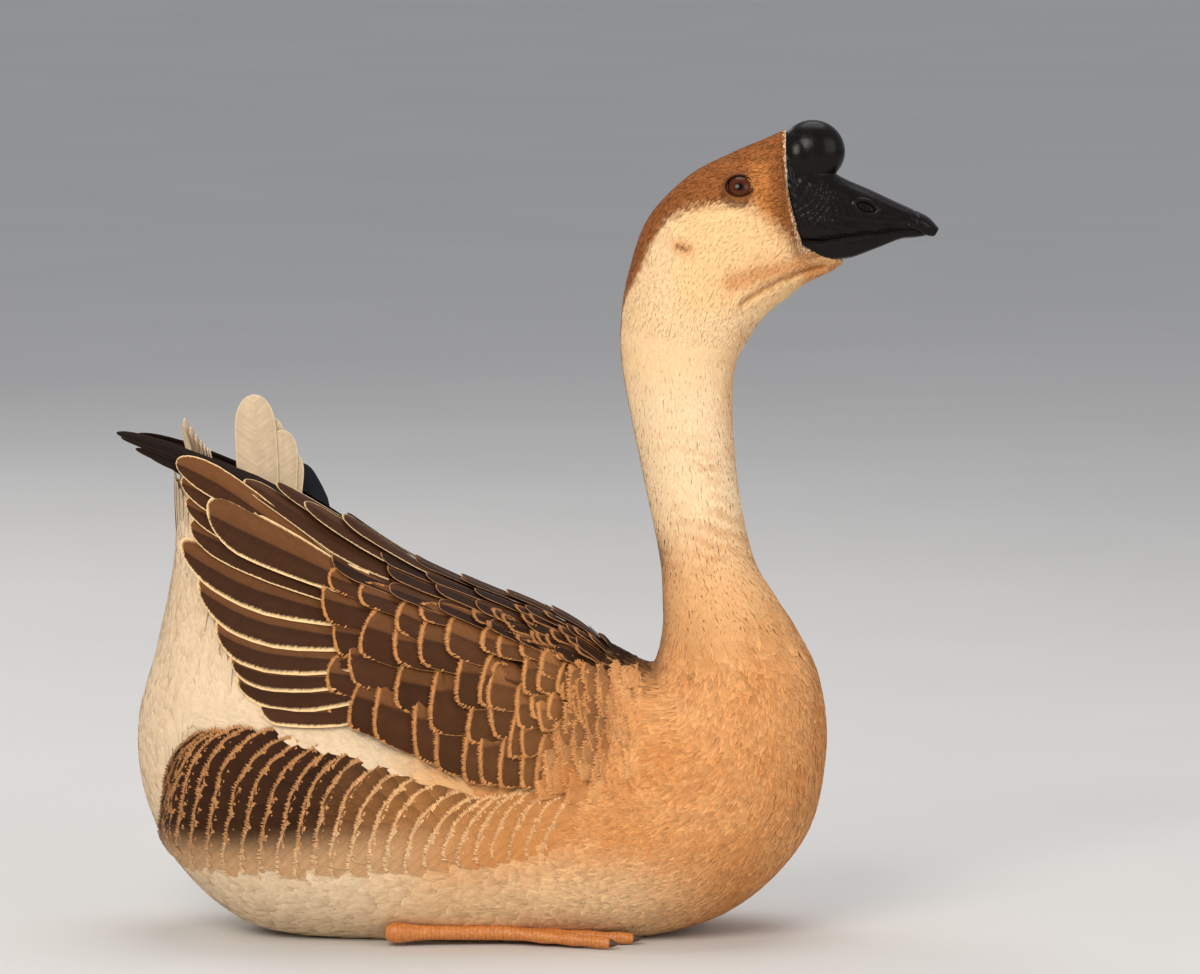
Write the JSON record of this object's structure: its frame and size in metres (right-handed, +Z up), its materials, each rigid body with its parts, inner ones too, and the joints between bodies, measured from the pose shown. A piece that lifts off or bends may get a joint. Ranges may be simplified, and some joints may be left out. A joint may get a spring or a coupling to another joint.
{
  "type": "chinese goose",
  "caption": "Life-size brown Chinese goose resting on its belly, neck raised, knobbed bill level, tail cocked, wings folded in overlapping feathers, webbed feet tucked under.",
  "frame": {"origin": "centre of the bounding box seen from above, on the level that the belly rests on", "axes": "+X toward the bill, +Y toward the bird's left side, +Z up"},
  "size_m": [0.5103, 0.1948, 0.5075],
  "materials": {
    "head_down": "soft matte down",
    "breast_down": "soft matte down",
    "belly_down": "soft matte down",
    "tail_feather": "satin feather",
    "wing_feather": "satin feather",
    "bill_horn": "satin horn",
    "eye_brown": "wet gloss",
    "foot_skin": "scaled skin"
  },
  "bodies": {
    "root": {"head": "head_down", "neck_upper": "head_down", "neck_lower": "breast_down", "breast": "breast_down", "torso": "belly_down", "tail": "tail_feather", "wing_right": "wing_feather", "wing_left": "wing_feather", "bill_upper": "bill_horn", "bill_lower": "bill_horn", "eye_right": "eye_brown", "eye_left": "eye_brown", "foot_right": "foot_skin", "foot_left": "foot_skin"}
  },
  "joints": []
}
